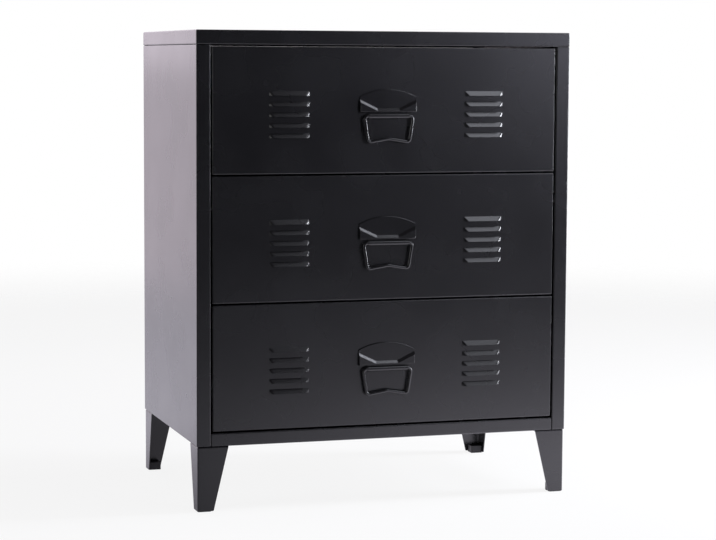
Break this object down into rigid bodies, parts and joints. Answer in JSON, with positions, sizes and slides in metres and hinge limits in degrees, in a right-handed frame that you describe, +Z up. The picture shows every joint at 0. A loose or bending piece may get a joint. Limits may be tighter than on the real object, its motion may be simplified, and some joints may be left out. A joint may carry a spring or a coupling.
{
  "type": "chest of drawers",
  "caption": "Floor-standing folded sheet-steel chest of drawers on tapered angle legs, with louvred flush drawer fronts, arched handle plates and hinged wire bail pulls.",
  "frame": {"origin": "on the floor, under the middle of the whole chest with its handles", "axes": "+X to the right for someone facing the drawers, +Y from the front to the back, +Z up"},
  "size_m": [0.6, 0.391, 0.728],
  "materials": {
    "black_powder_coat": "satin black powder coat on folded sheet steel",
    "black_cast_handle": "satin black enamel on a cast plate",
    "black_wire": "satin black enamel on steel wire",
    "zinc_plated_steel": "bright zinc plating",
    "black_zinc_screws": "black zinc plating",
    "white_nylon": "natural moulded nylon",
    "black_plastic": "matt moulded plastic"
  },
  "bodies": {
    "carcase": {"top_panel": "black_powder_coat", "back_panel": "black_powder_coat", "base_panel": "black_powder_coat", "left_side_panel": "black_powder_coat", "right_side_panel": "black_powder_coat", "front_left_leg": "black_powder_coat", "front_right_leg": "black_powder_coat", "back_left_leg": "black_powder_coat", "back_right_leg": "black_powder_coat", "front_left_foot": "black_plastic", "front_right_foot": "black_plastic", "back_left_foot": "black_plastic", "back_right_foot": "black_plastic", "top_screws": "zinc_plated_steel", "back_screws": "black_zinc_screws", "leg_screws": "black_zinc_screws", "base_screws": "zinc_plated_steel", "runner_screws": "zinc_plated_steel", "runner_pads": "white_nylon", "lower_left_runner": "zinc_plated_steel", "lower_right_runner": "zinc_plated_steel", "middle_left_runner": "zinc_plated_steel", "middle_right_runner": "zinc_plated_steel", "upper_left_runner": "zinc_plated_steel", "upper_right_runner": "zinc_plated_steel"},
    "lower_drawer": {"lower_drawer_front": "black_powder_coat", "lower_tray": "black_powder_coat", "lower_tray_back": "black_powder_coat", "lower_handle_plate": "black_cast_handle", "lower_rail_glides": "white_nylon", "lower_rail_rivets": "zinc_plated_steel", "lower_front_screws": "zinc_plated_steel", "lower_handle_screws": "zinc_plated_steel", "lower_left_rail": "zinc_plated_steel", "lower_right_rail": "zinc_plated_steel"},
    "lower_pull": {"lower_bail": "black_wire"},
    "middle_drawer": {"middle_drawer_front": "black_powder_coat", "middle_tray": "black_powder_coat", "middle_tray_back": "black_powder_coat", "middle_handle_plate": "black_cast_handle", "middle_rail_glides": "white_nylon", "middle_rail_rivets": "zinc_plated_steel", "middle_front_screws": "zinc_plated_steel", "middle_handle_screws": "zinc_plated_steel", "middle_left_rail": "zinc_plated_steel", "middle_right_rail": "zinc_plated_steel"},
    "middle_pull": {"middle_bail": "black_wire"},
    "upper_drawer": {"upper_drawer_front": "black_powder_coat", "upper_tray": "black_powder_coat", "upper_tray_back": "black_powder_coat", "upper_handle_plate": "black_cast_handle", "upper_rail_glides": "white_nylon", "upper_rail_rivets": "zinc_plated_steel", "upper_front_screws": "zinc_plated_steel", "upper_handle_screws": "zinc_plated_steel", "upper_left_rail": "zinc_plated_steel", "upper_right_rail": "zinc_plated_steel"},
    "upper_pull": {"upper_bail": "black_wire"}
  },
  "joints": [
    {"name": "lower_drawer_slide", "type": "slide", "parent": "carcase", "child": "lower_drawer", "axis": [0, -1, 0], "range_m": [0, 0.264]},
    {"name": "lower_pull_hinge", "type": "hinge", "parent": "lower_drawer", "child": "lower_pull", "pos_m": [0, -0.19205, 0.21], "axis": [-1, 0, 0], "range_deg": [0, 150]},
    {"name": "middle_drawer_slide", "type": "slide", "parent": "carcase", "child": "middle_drawer", "axis": [0, -1, 0], "range_m": [0, 0.264]},
    {"name": "middle_pull_hinge", "type": "hinge", "parent": "middle_drawer", "child": "middle_pull", "pos_m": [0, -0.19205, 0.4045], "axis": [-1, 0, 0], "range_deg": [0, 150]},
    {"name": "upper_drawer_slide", "type": "slide", "parent": "carcase", "child": "upper_drawer", "axis": [0, -1, 0], "range_m": [0, 0.264]},
    {"name": "upper_pull_hinge", "type": "hinge", "parent": "upper_drawer", "child": "upper_pull", "pos_m": [0, -0.19205, 0.599], "axis": [-1, 0, 0], "range_deg": [0, 150]}
  ]
}
